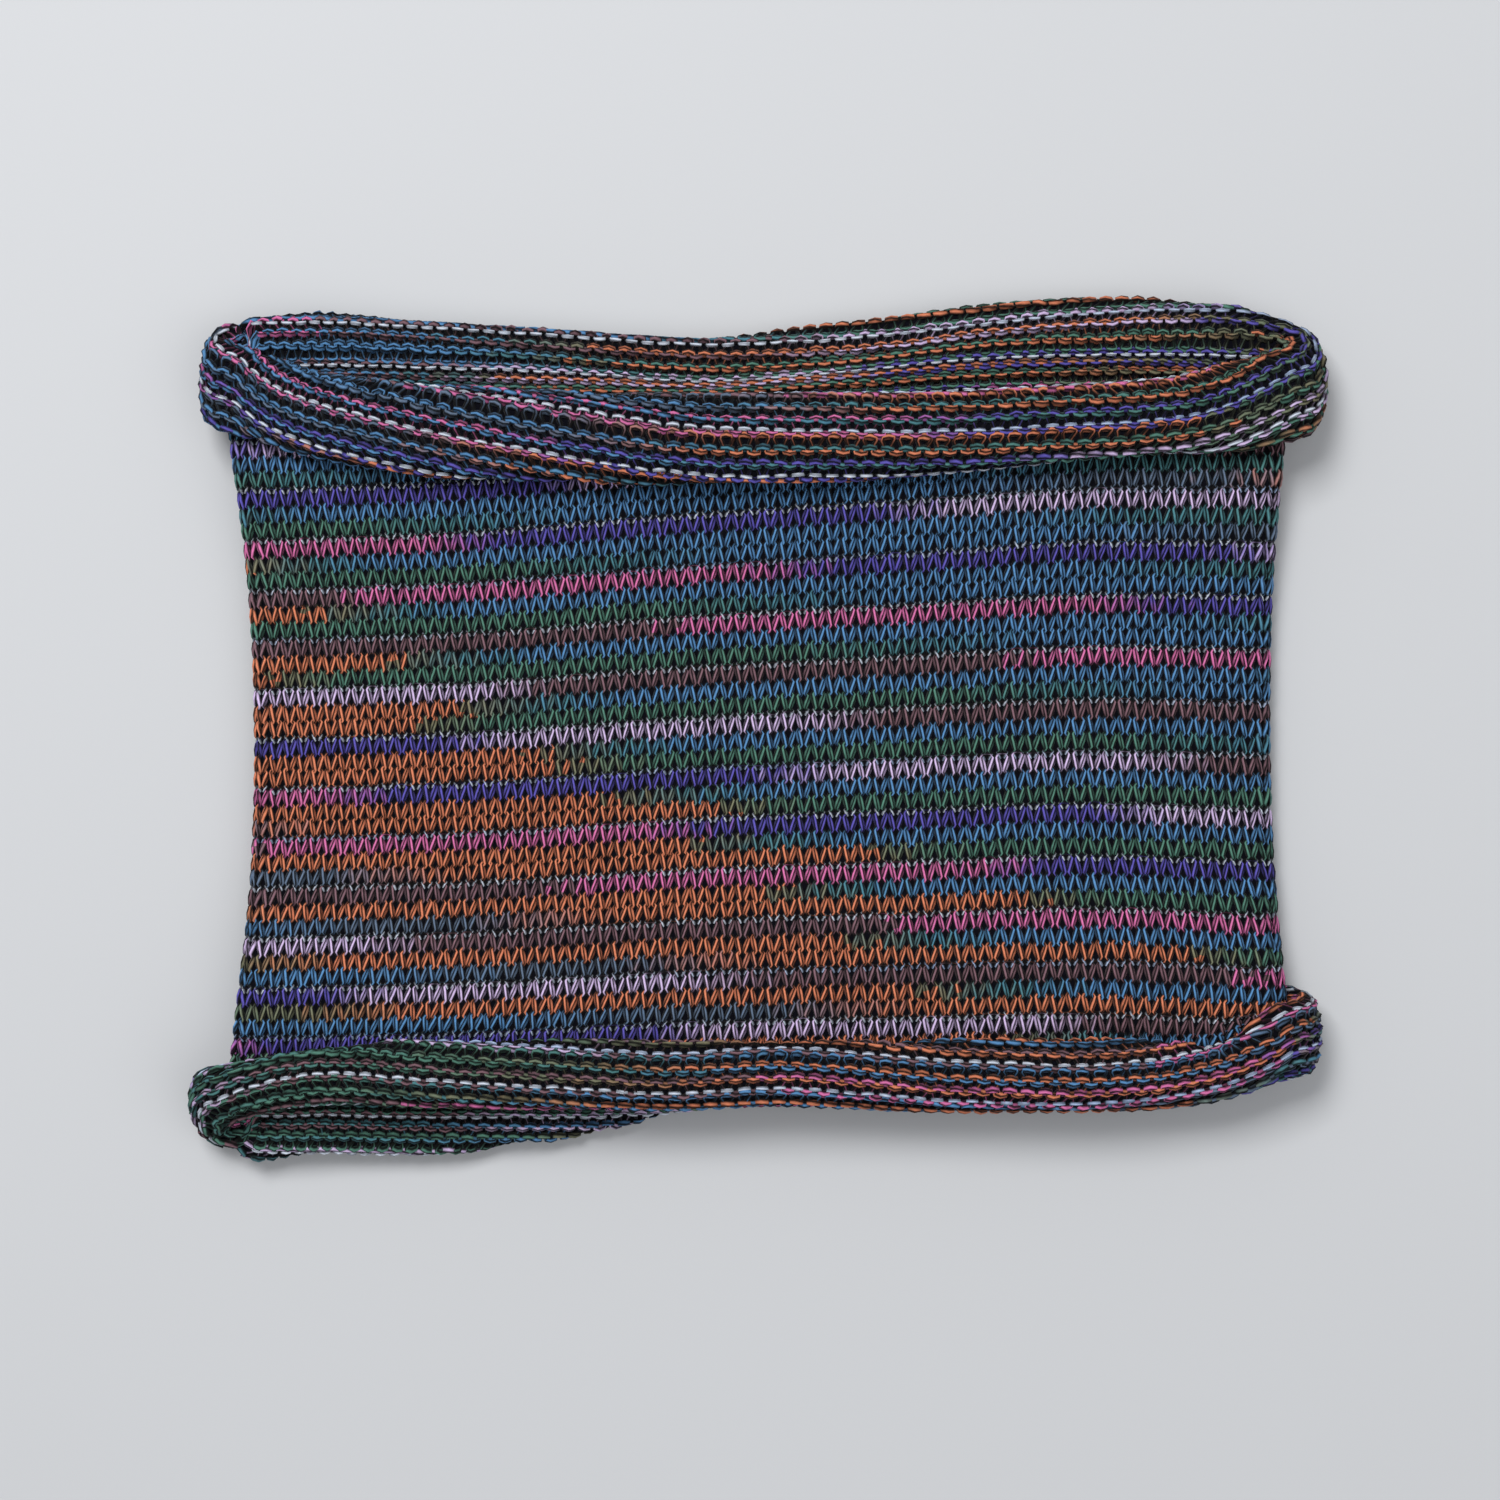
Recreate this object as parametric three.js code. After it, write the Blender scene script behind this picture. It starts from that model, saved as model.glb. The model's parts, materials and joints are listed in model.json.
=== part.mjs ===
// Knitted neck gaiter lying flat: one stockinette tube whose two open edges curl outwards into soft rolls.
// The front layer lies over the back layer, and the two meet at a side fold on the left and on the right.
// At each mouth the edge of the front layer rolls up onto the front, the edge of the back layer rolls down
// under the back, and the roll carries on round the side folds as one ring.
//
// +X runs across the tube from fold to fold, +Y along the tube, +Z up from the surface it lies on.
// The origin is at the bottom centre of the whole object. Millimetres.

import * as THREE from "three";

// Driving dimensions
const tubeWidth = 272; // flat width of the tube between the mouths, from fold to fold
const tubeLength = 164.2; // from the bottom front roll's line to the top front roll's line, at mid width
const fabric = 2.7; // thickness of the knitting
const mouthGap = 7.5; // open height between the layers at the mouths
const sag = 1.5; // how far the front layer dips between the two rolls
const waist = 3.2; // how far each side fold draws in at mid length
const frontRollHeight = 10; // the rolls that lie on the front layer
const backRollHeight = 8; // the rolls under the back layer, pressed flatter by the weight on them
const topFrontRollWidth = 23.6;
const topBackRollWidth = 22;
const bottomFrontRollWidth = 18.4;
const bottomBackRollWidth = 20;
const topLeftReach = 9; // how far each end of a roll stands out past the side fold
const topRightReach = 13;
const bottomLeftReach = 13;
const bottomRightReach = 12;
const clearance = 0.3; // between neighbouring pieces
const sectionRounding = 0.72; // 1 gives the rolls an elliptical section and 0 a square one

// Heights worked out from the stack of layers
const frontUnder = backRollHeight + mouthGap;
const frontTop = frontUnder + fabric;
const rollUnder = frontTop + clearance;
const rollTop = rollUnder + frontRollHeight;
const foldRadius = frontTop / 2;
const seamX = tubeWidth / 2 - foldRadius; // where the flat layers end and the side folds begin

// How far each roll's route wanders along the tube, at shares of the half width from left (-1) to right (1).
const topFrontRoute = wander([-1, -0.85, -0.7, -0.38, 0, 0.4, 0.65, 0.8, 1], [13, 7.6, 3.6, 0.8, 0, 1.8, 4.6, 6.5, 11]);
const topBackEdge = wander([-1, -0.82, -0.45, -0.08, 0.26, 0.65, 0.85, 1], [31, 33, 29.2, 27.2, 31.4, 36.9, 35.8, 31]);
const bottomFrontRoute = wander([-1, -0.82, -0.45, 0, 0.45, 0.78, 0.92, 1], [-6, -1.2, 0, 0, -0.5, 0, 2.8, 8]);
const bottomBackEdge = wander([-1, -0.65, -0.46, -0.28, -0.09, 0.25, 0.7, 1], [-22, -23, -20.5, -16.6, -10, -7.6, -7.4, 1]);

// Each roll covers the stretch between two edges along Y, at a place across the tube.
const topLine = tubeLength / 2;
const bottomLine = -tubeLength / 2;
const rolls = {
  topFront: (x) => centred(topLine + topFrontRoute(x), topFrontRollWidth),
  topBack: (x) => centred(topLine + topBackEdge(x) - topBackRollWidth / 2, topBackRollWidth),
  bottomFront: (x) => centred(bottomLine + bottomFrontRoute(x), bottomFrontRollWidth),
  bottomBack: (x) => centred(bottomLine + bottomBackEdge(x) + bottomBackRollWidth / 2, bottomBackRollWidth),
};
const frontLayerLow = (x) => rolls.bottomFront(x).low;
const frontLayerHigh = (x) => rolls.topFront(x).high;

// Smooth curve through a few values, read by place across the tube and level past either end.
function wander(shares, offsets) {
  const curve = new THREE.CubicInterpolant(shares, offsets, 1);
  return (x) => curve.evaluate(THREE.MathUtils.clamp(x / (tubeWidth / 2), -1, 1))[0];
}

function centred(middle, width) {
  return { low: middle - width / 2, high: middle + width / 2 };
}

// The front layer hangs between the rolls: no dip at their inner edges, the full dip half way.
function dip(x, y) {
  const low = rolls.bottomFront(x).high;
  const high = rolls.topFront(x).low;
  const share = THREE.MathUtils.clamp((y - low) / (high - low), 0, 1);
  return sag * Math.sin(Math.PI * share) ** 2;
}

// Half width of the tube at a place along it: drawn in at mid length, full at the rolls.
function foldReach(y) {
  return tubeWidth / 2 - waist * Math.cos((Math.PI * y) / (tubeLength + topFrontRollWidth)) ** 2;
}

// A closed shape bent into place: every point of it goes where place() sends it.
function shaped(name, geometry, place, colour) {
  const points = geometry.attributes.position;
  const point = new THREE.Vector3();
  for (let i = 0; i < points.count; i += 1) {
    point.fromBufferAttribute(points, i);
    points.setXYZ(i, ...place(point));
  }
  geometry.computeVertexNormals();
  const material = new THREE.MeshStandardMaterial({ color: colour, roughness: 0.95, metalness: 0 });
  const mesh = new THREE.Mesh(geometry, material);
  mesh.name = name;
  return mesh;
}

// A slab of fabric. place(a, b, c) takes shares from 0 to 1: across, along, and from its under side to its top.
function slab(name, across, along, place, colour) {
  const box = new THREE.BoxGeometry(1, 1, 1, across, along, 1);
  return shaped(name, box, (p) => place(p.x + 0.5, p.y + 0.5, p.z + 0.5), colour);
}

// A soft bar with a rounded section. place(t, a, b) takes the share t along it, and a and b from -1 to 1
// across the section, along the tube and outwards.
function bar(name, steps, place, colour) {
  const cylinder = new THREE.CylinderGeometry(1, 1, 1, 16, steps);
  const round = (v) => Math.sign(v) * Math.abs(v) ** sectionRounding;
  return shaped(name, cylinder, (p) => place(p.y + 0.5, round(p.z), round(p.x)), colour);
}

const mix = THREE.MathUtils.lerp;

function frontLayer() {
  return slab("front_layer", 18, 14, (a, b, c) => {
    const x = mix(-seamX, seamX, a);
    const y = mix(frontLayerLow(x), frontLayerHigh(x), b);
    return [x, y, mix(frontUnder, frontTop, c) - dip(x, y)];
  }, 0x4a5f86);
}

function backLayer() {
  return slab("back_layer", 18, 1, (a, b, c) => {
    const x = mix(-seamX, seamX, a);
    const low = rolls.bottomBack(x).high + clearance;
    const high = rolls.topBack(x).low - clearance;
    return [x, mix(low, high, b), c * fabric];
  }, 0x3f4f6c);
}

// The straight stretch of a roll between the side folds.
function rollBar(name, roll, under, height, colour) {
  return bar(name, 18, (t, a, b) => {
    const x = mix(-seamX, seamX, t);
    const { low, high } = roll(x);
    return [x, mix(low, high, (a + 1) / 2), under + (height * (b + 1)) / 2];
  }, colour);
}

// Where the end of a roll lies when it has turned by an angle from the front (0) to the back (pi).
function turn(side, front, back, reach, angle) {
  const outer = tubeWidth / 2 + reach - seamX - clearance;
  const inner = foldRadius - fabric;
  const mid = (backRollHeight + frontUnder) / 2;
  const above = rollTop - mid;
  const out = Math.sin(angle);
  const up = Math.cos(angle);
  const x = seamX + clearance + out * (outer + inner) / 2;
  const frontShare = (1 + up) / 2;
  const atFront = front(side * x);
  const atBack = back(side * x);
  return {
    low: mix(atBack.low, atFront.low, frontShare),
    high: mix(atBack.high, atFront.high, frontShare),
    inside: [seamX + clearance + inner * out, mid + (mouthGap / 2) * up],
    outside: [seamX + clearance + outer * out, mid + (up > 0 ? above : mid) * up],
  };
}

// The end of a roll, which turns round the side of the tube from the front to the back.
function rollEnd(name, side, front, back, reach, colour) {
  return bar(name, 12, (t, a, b) => {
    const at = turn(side, front, back, reach, Math.PI * t);
    const x = mix(at.inside[0], at.outside[0], (b + 1) / 2);
    const z = mix(at.inside[1], at.outside[1], (b + 1) / 2);
    return [side * x, mix(at.low, at.high, (side * a + 1) / 2), z];
  }, colour);
}

// The edge of a roll end that faces the other roll, taken over its whole turn.
function innerEdge(side, front, back, reach, edge, furthest) {
  const angles = Array.from({ length: 25 }, (_, i) => (Math.PI * i) / 24);
  return furthest(...angles.map((angle) => turn(side, front, back, reach, angle)[edge]));
}

// The fold that joins the two layers along one side, between the ends of the two rolls.
function sideFold(name, side, topReach, bottomReach, colour) {
  const high = innerEdge(side, rolls.topFront, rolls.topBack, topReach, "low", Math.min) - clearance;
  const low = innerEdge(side, rolls.bottomFront, rolls.bottomBack, bottomReach, "high", Math.max) + clearance;
  return slab(name, 10, 12, (a, b, c) => {
    const y = mix(low, high, side > 0 ? b : 1 - b);
    const top = frontTop - dip(side * seamX, y);
    const radius = top / 2;
    const start = seamX + clearance;
    const reach = foldReach(y) - start;
    const depth = (1 - c) * fabric;
    const out = Math.sin(Math.PI * a);
    const up = Math.cos(Math.PI * a);
    return [side * (start + (reach - depth) * out), y, radius + (radius - depth) * up];
  }, colour);
}

const gaiter = new THREE.Group();
gaiter.add(
  frontLayer(),
  backLayer(),
  sideFold("left_fold", -1, topLeftReach, bottomLeftReach, 0x7a5a52),
  sideFold("right_fold", 1, topRightReach, bottomRightReach, 0x3e5e7c),
  rollBar("top_roll_front", rolls.topFront, rollUnder, frontRollHeight, 0x5a4a86),
  rollBar("top_roll_back", rolls.topBack, 0, backRollHeight, 0x4a5a62),
  rollEnd("top_roll_left_end", -1, rolls.topFront, rolls.topBack, topLeftReach, 0x3f6084),
  rollEnd("top_roll_right_end", 1, rolls.topFront, rolls.topBack, topRightReach, 0x4a4878),
  rollBar("bottom_roll_front", rolls.bottomFront, rollUnder, frontRollHeight, 0x5e5a58),
  rollBar("bottom_roll_back", rolls.bottomBack, 0, backRollHeight, 0x35493f),
  rollEnd("bottom_roll_left_end", -1, rolls.bottomFront, rolls.bottomBack, bottomLeftReach, 0x35493f),
  rollEnd("bottom_roll_right_end", 1, rolls.bottomFront, rolls.bottomBack, bottomRightReach, 0x5c4a6a),
);

// The origin is put under the middle of the whole gaiter.
const extent = new THREE.Box3().setFromObject(gaiter);
gaiter.position.set(-(extent.min.x + extent.max.x) / 2, -(extent.min.y + extent.max.y) / 2, -extent.min.z);

const group = new THREE.Group();
group.add(gaiter);

export default group;
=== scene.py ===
"""Knitted neck gaiter lying flat: a stockinette tube whose two open edges curl outwards into soft rolls.

Four yarns are knitted in turn, so each one is a single helix that climbs four courses on every round.
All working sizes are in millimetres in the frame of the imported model; meshes are written in metres. The
place of a loop is given by its wale, as a share u of the round that starts at the left fold, and by its
course v, counted up from the lower edge of the tube.
"""

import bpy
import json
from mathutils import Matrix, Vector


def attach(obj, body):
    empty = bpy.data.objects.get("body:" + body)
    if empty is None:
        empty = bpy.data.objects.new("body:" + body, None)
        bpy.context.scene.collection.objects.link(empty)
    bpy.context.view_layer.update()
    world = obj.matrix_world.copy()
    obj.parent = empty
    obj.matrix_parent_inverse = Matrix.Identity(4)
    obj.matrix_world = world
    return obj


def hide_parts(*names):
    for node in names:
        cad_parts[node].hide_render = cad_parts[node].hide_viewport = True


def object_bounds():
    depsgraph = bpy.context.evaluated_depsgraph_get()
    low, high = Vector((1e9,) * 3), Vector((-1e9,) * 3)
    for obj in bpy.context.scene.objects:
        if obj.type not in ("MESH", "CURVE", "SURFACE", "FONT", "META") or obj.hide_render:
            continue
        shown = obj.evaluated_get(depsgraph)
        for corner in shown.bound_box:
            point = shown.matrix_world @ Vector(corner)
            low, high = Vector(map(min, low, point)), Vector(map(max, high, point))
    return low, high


bl_info = {
    "name": "Knitted neck gaiter",
    "version": (1, 0, 0),
    "blender": (4, 5, 0),
    "location": "3D View > Sidebar > Gaiter",
    "description": "Builds a stockinette neck gaiter loop by loop, with curled edges",
    "category": "Add Mesh",
}

import json

import bpy
import numpy as np

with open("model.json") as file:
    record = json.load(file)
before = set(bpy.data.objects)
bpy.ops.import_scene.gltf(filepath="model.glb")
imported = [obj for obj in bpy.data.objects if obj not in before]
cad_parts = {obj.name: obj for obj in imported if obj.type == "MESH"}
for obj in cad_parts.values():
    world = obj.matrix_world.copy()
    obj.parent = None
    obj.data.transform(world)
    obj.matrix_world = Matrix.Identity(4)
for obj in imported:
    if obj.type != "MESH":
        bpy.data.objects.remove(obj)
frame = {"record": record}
CAD_LOW, CAD_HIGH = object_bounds()

MM = 0.001
NODES = [row["node"] for row in frame["record"]["subparts"]]
ZONES = ("bottom_roll", "knit_body", "top_roll")  # parts of the tube, named as their material slots
BODY = 1  # place of the body in ZONES

YARN_COUNT = 4  # yarns knitted in turn, one course each
COURSES = 104.0  # courses from one edge of the tube to the other
COURSE_STEP = 0.25  # spacing of the working grid, in courses
FOLD_SHARE = 0.026  # share of the round in each side fold, where the height of a course is worked out
ROLL_FOLD_SHARE = 0.045  # the same for the rolls, which turn wider

FLAT_LEFT = -130.0  # left end of the flat part
FLAT_WIDTH = 265.0
TOP_BACK_WIDTH = 22.0  # the rolls under the back layer, along the tube
BOTTOM_BACK_WIDTH = 20.0
UNDER_HEIGHT = 5.6  # their thickness, pressed flat by what lies on them
TOP_END_HEIGHTS = (7.0, 10.2)  # thickness of the rolls' left and right ends
BOTTOM_END_HEIGHTS = (9.8, 8.8)
MOUTH = 92.0  # how far from the middle the layers still change their height
CORNER_RADIUS = 0.9  # half the gap between the two layers where a mouth closes at its corners

TOP_ROUND = 17.0  # rounds are numbered down from this many above the tube's lower edge
FIRST_ROUND_Y = 47.67  # height of round 1, the first one under the top roll, at the left
ROUND_PITCH = 12.95  # rounds apart at the left
FAN_LEFT = -132.0  # where the rounds start to fan out
FAN_START = 1.73  # how much lower the first round is at the right, before COURSE_RISE
FAN_STEP = 0.92  # how much further apart rounds are at the right


# ---------------------------------------------------------------- plain maths


def line_through(points):
    """A smooth line through points: on each span a cubic whose end slopes are the mean slopes there."""
    xs, ys = np.array(points, dtype=float).T
    slopes = np.gradient(ys, xs)

    def at(x):
        x = np.clip(x, xs[0], xs[-1])
        k = np.clip(np.searchsorted(xs, x) - 1, 0, len(xs) - 2)
        span = xs[k + 1] - xs[k]
        t = (x - xs[k]) / span
        a = (1 + 2 * t) * (1 - t) ** 2 * ys[k] + t * (1 - t) ** 2 * span * slopes[k]
        b = t * t * (3 - 2 * t) * ys[k + 1] - t * t * (1 - t) * span * slopes[k + 1]
        return a + b

    return at


def ease(x):
    """Three x squared less two x cubed, held to 0 below 0 and to 1 above 1."""
    x = np.clip(x, 0.0, 1.0)
    return x * x * (3 - 2 * x)


def mix(a, b, t):
    """a at t = 0 and b at t = 1, in a straight line between them."""
    return a + (b - a) * t


def unit(vectors):
    """Each vector divided by its length."""
    return vectors / np.maximum(np.linalg.norm(vectors, axis=-1, keepdims=True), 1e-9)


# ---------------------------------------------------------------- outlines of the laid tube

TOP_FRONT_EDGE = line_through(
    [(-139, 79.6), (-130, 77), (-114, 72.3), (-94.5, 68.1), (-75.3, 66), (-51.4, 65.3), (-24.8, 64.2),
     (1.7, 64.2), (35, 66), (67.7, 68.6), (88.3, 70.7), (108.8, 72.3), (129.1, 73.8), (139.2, 76.7)]
)
TOP_FRONT_CREST = line_through(
    [(-136, 101.5), (-129, 97.7), (-108.6, 91.7), (-93, 89.4), (-74.8, 87.9), (-51.4, 86.8), (-18, 85.8),
     (11, 86.3), (52.7, 86.8), (74.8, 88.1), (95, 89.4), (112.2, 91.3), (125.5, 94.4), (137.2, 98)]
)
TOP_BACK_CREST = line_through(
    [(-140, 104.5), (-131.4, 107.2), (-110.6, 108.9), (-88, 107.4), (-62.3, 105.3), (-38.1, 103.8),
     (-11.6, 102.6), (8.5, 104.4), (35, 107), (61, 110.6), (88.3, 112.4), (115.6, 112), (129.1, 110.6),
     (142.6, 105.5)]
)
BOTTOM_FRONT_EDGE = line_through(
    [(-139.8, -90.5), (-127, -86.6), (-114, -83.7), (-94.5, -81.6), (-75, -80.9), (-40, -81), (0, -81.5),
     (40, -81.2), (88, -80.6), (109, -81.4), (119, -82.2), (125.7, -80.6), (130.4, -76.5), (137, -69)]
)
BOTTOM_FRONT_CREST = line_through(
    [(-141.8, -107), (-136.6, -103), (-130.1, -99.8), (-120.5, -97.5), (-107.5, -96.2), (-80, -96.6),
     (-50, -97), (-15, -97.3), (1.7, -96.5), (52.7, -97.8), (88.3, -97.8), (108.8, -96.7), (122.3, -94.9),
     (132.5, -91.5), (141, -86)]
)
BOTTOM_BACK_CREST = line_through(
    [(-144.4, -108), (-136.6, -110.8), (-114, -110.4), (-88, -110.8), (-62.3, -108.2), (-38.1, -104.3),
     (-20, -99.8), (0, -96.5), (52, -94.5), (100, -93), (132, -89), (140, -85)]
)
COURSE_RISE = line_through(
    [(-132, 0), (-80, 2.08), (-15, 7.28), (42.3, 11.18), (89, 14.56), (135.9, 15.08)]
)

# how far the courses have slid over the rolls towards their lower edges
TOP_FRONT_SLIDE = line_through(
    [(-130, -6.0), (-96, -6.0), (-65, -4.4), (-34, -3.0), (0, -2.0), (28, -2.8), (60, -4.0), (90, -4.0),
     (123, -3.0)]
)
TOP_BACK_SLIDE = -7.0
BOTTOM_SLIDE = -3.6
# how much further the last courses of the back have slid over its mouth
TOP_BACK_LATE = line_through(
    [(-130, 4.0), (-108, 4.0), (-67, 2.4), (-3, -1.4), (41, 0.0), (71, 2.4), (101, 4.2), (131, 5.2)]
)
# where the front lobe of the top roll lies over the rest of it, as a share of the way from mouth to edge
RIDGE_PLACE = line_through(
    [(-90, 0.02), (-60, 0.12), (-35, 0.24), (0, 0.42), (25, 0.5), (50, 0.58), (80, 0.62)]
)
# how strong that lobe is
RIDGE_SIZE = line_through([(-100, 0.0), (-70, 0.4), (-40, 0.6), (-15, 0.4), (10, 0.1), (30, 0.0)])


def half_width_left(y):
    """Middle of the cloth at the left fold: a parabola, narrowest a little below the middle."""
    return np.minimum(131.2 + 5.7 * ((y + 5) / 79) ** 2, 137.4)


def half_width_right(y):
    """Middle of the cloth at the right fold: a flatter parabola."""
    return np.minimum(133.7 + 3.2 * ((y - 5) / 70) ** 2, 137.2)


def front_height(y):
    """Height of the front layer: it rides on the back roll near both mouths and sinks between them."""
    return 9.6 + 4.9 * ease((np.abs(y) - 26) / 44)


def back_height(y):
    """Height of the back layer: on the table in the middle, lifted over its own rolls near the mouths."""
    return 1.35 + 6.5 * ease((np.abs(y) - 44) / 36)


# ---------------------------------------------------------------- the tube as one surface


def ring_place(u, fold):
    """Where a wale lies round the tube, when each side fold takes up the given share of the round.

    Half a fold, the front from left to right, the right fold, the back from right to left, half a fold.
    Gives the share of the way across, 0 left and 1 right, and the angle of the outward normal,
    90 degrees on the front, 0 at the right fold, -90 on the back and 180 at the left fold. Wales stand
    closer at the left: their spacing grows from there as one less an exponential.
    """
    half = fold / 2
    u = np.mod(u + half, 1.0) - half
    flat = 0.5 - fold
    across = np.where(u < 0.5, (u - half) / flat, 1 - (u - 0.5 - half) / flat)
    across = np.clip(across, 0, 1)
    tight = 0.0325 * (1 - np.exp(-4 * across))
    across = (1.035 * across - tight) / 1.0031
    turn = np.where(
        u < half,
        mix(1.5 * np.pi, 0.5 * np.pi, (u + half) / fold),
        np.where(
            u < 0.5 - half,
            0.5 * np.pi,
            np.where(u < 0.5 + half, mix(0.5 * np.pi, -0.5 * np.pi, (u - 0.5 + half) / fold), -0.5 * np.pi),
        ),
    )
    return across, turn


def course_height(v, u, across):
    """Height up the front of course v.

    Rounds are ROUND_PITCH apart at the left. To the right they fan out as the three halves power of the
    way across, and rise along COURSE_RISE. The back goes from the height at the right fold to that at
    the left one, three fifths of the way by an ease curve and two fifths in a straight line.
    """

    def on_front(rounds_down, share):
        x = FLAT_LEFT + FLAT_WIDTH * share
        fan = np.clip((x - FAN_LEFT) / (FLAT_LEFT + FLAT_WIDTH - FAN_LEFT), 0, 1.05) ** 1.5
        below = rounds_down - 1
        return FIRST_ROUND_Y - ROUND_PITCH * below - (FAN_START + FAN_STEP * below) * fan + COURSE_RISE(x)

    half = FOLD_SHARE / 2
    rounds_up = v / YARN_COUNT
    front = on_front(TOP_ROUND + u - rounds_up, across)
    right = on_front(TOP_ROUND + 0.5 + half - rounds_up, 1.0)
    left = on_front(TOP_ROUND - half - rounds_up, 0.0)
    back = mix(right, left, ease(1 - across) * 0.6 + (1 - across) * 0.4)
    return np.where((u > 0.5 + half) & (u < 1 - half), back, front)


def roll_section(width, height, inner):
    """Section of a curled edge, as (way outwards, height off the cloth) from where the roll starts.

    Straight under the roll, round the mouth, over the top, round the lower edge, back inside and once
    more round. Each outer quarter is a superellipse of power 2.1, and the inner turn is a half circle
    that stays one thickness of cloth inside the outer one.
    """
    cloth_outside, cloth_above = 3.6, 3.0
    power = 2 / 2.1
    angle = np.linspace(0, np.pi / 2, 24)
    rise, run = np.sin(angle) ** power, np.cos(angle) ** power
    half = width[:, None] / 2
    top = height[:, None]
    low = inner[:, None]
    crest = top * 0.48
    edge = mix(low, top, 0.5)
    flat = np.linspace(0, 1, 12)[None, :-1]
    turn = np.linspace(-np.pi / 2, np.pi / 2, 20)[None, :]
    in_top = np.maximum(top - cloth_above, low + 0.8)
    in_mid, in_half = (in_top + low) / 2, (in_top - low) / 2
    in_end = 2 * half - cloth_outside - in_half
    parts_y = [
        half * flat,
        half + half * rise[None, :-1],
        half + half * run[None, :-1],
        half - half * rise[None, :-1],
        half - half * run[None, :-1],
        half + (in_end - half) * flat,
        in_end + in_half * np.cos(turn),
        mix(in_end, half * 0.4, flat + 1 / 11),
    ]
    parts_n = [
        0 * half * flat,
        crest - crest * run[None, :-1],
        crest + (top - crest) * rise[None, :-1],
        edge + (top - edge) * run[None, :-1],
        edge - (edge - low) * rise[None, :-1],
        low + 0 * half * flat,
        in_mid + in_half * np.sin(turn),
        in_top + 0 * half * (flat + 1 / 11),
    ]
    return np.concatenate(parts_y, axis=1), np.concatenate(parts_n, axis=1)


def with_ridge(out, up, width, x, turn):
    """The section with the front lobe pushed over the part behind it.

    Behind the ridge line the top sinks by up to 2.4 mm, eased in over 4 mm and out over the last 3 mm.
    The ridge itself rises by a bell curve of up to 1 mm, and moves towards the mouth by one of up to
    2.3 mm. All of it is taken by the share that RIDGE_SIZE gives, on the front only.
    """
    size = np.where(np.sin(turn) > 0.99, RIDGE_SIZE(x), 0.0)[:, None]
    place = (width * (1 - RIDGE_PLACE(x)))[:, None]
    upper = slice(34, 80)  # the points of the section that go over the top
    way = out[:, upper]
    sink = 2.4 * ease((way - place) / 4.0) * ease((width[:, None] - way) / 3.0)
    rise = np.exp(-(((way - place + 2.5) / 4.0) ** 2))
    push = 2.3 * np.exp(-(((way - place + 0.6) / 2.0) ** 2))
    up[:, upper] += size * (rise - sink)
    out[:, upper] += size * push
    return out, up


def ring_value(front, back, turn):
    """Front value on the front, back value on the back, cosine blend through the folds."""
    return mix(back, front, (1 + np.sin(turn)) / 2)


def under_value(above, below, turn):
    """The value above on the front and down to the middle of each fold, easing to the value below."""
    return mix(below, above, ease(1 + np.sin(turn)))


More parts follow.
